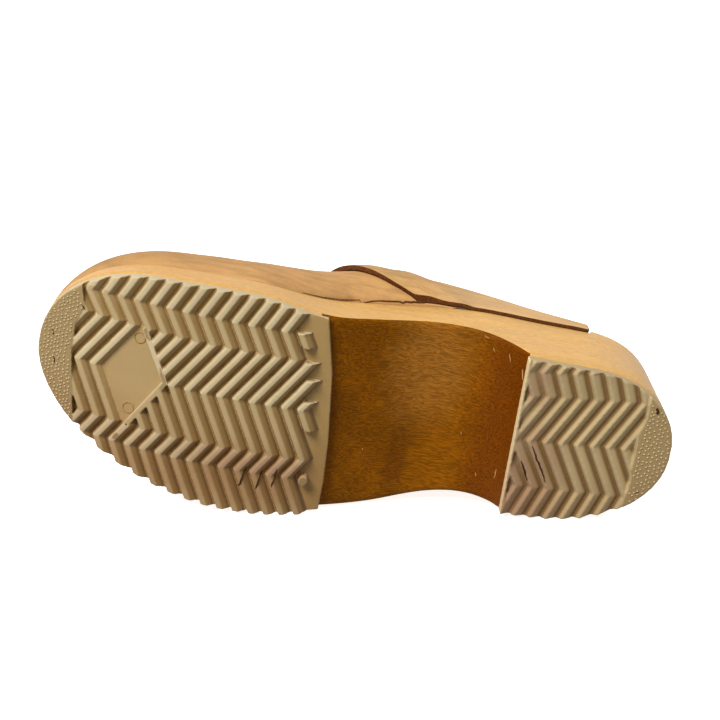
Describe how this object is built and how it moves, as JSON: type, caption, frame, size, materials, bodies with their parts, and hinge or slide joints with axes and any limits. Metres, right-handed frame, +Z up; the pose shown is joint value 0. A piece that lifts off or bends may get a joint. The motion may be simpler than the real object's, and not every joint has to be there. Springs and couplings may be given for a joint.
{
  "type": "leather clog",
  "caption": "Open-backed clog with a carved wooden sole, ribbed rubber tread plates and a leather vamp with an instep band, lying on its outer side.",
  "frame": {"origin": "middle of the bottom of the bounding box, on the floor under the lying clog", "axes": "+X from the toe to the heel, +Y from the sole to the instep, +Z up from the outer side on the floor to the inner side"},
  "size_m": [0.2526, 0.0966, 0.1038],
  "materials": {
    "wood": "satin varnish",
    "rubber": "matt moulded",
    "heel_rubber": "matt moulded, worn",
    "leather": "matt oiled nubuck",
    "band_leather": "matt oiled nubuck"
  },
  "bodies": {
    "root": {"wood_sole": "wood", "tread_front": "rubber", "tread_heel": "heel_rubber", "vamp": "leather", "instep_band": "band_leather"}
  },
  "joints": []
}
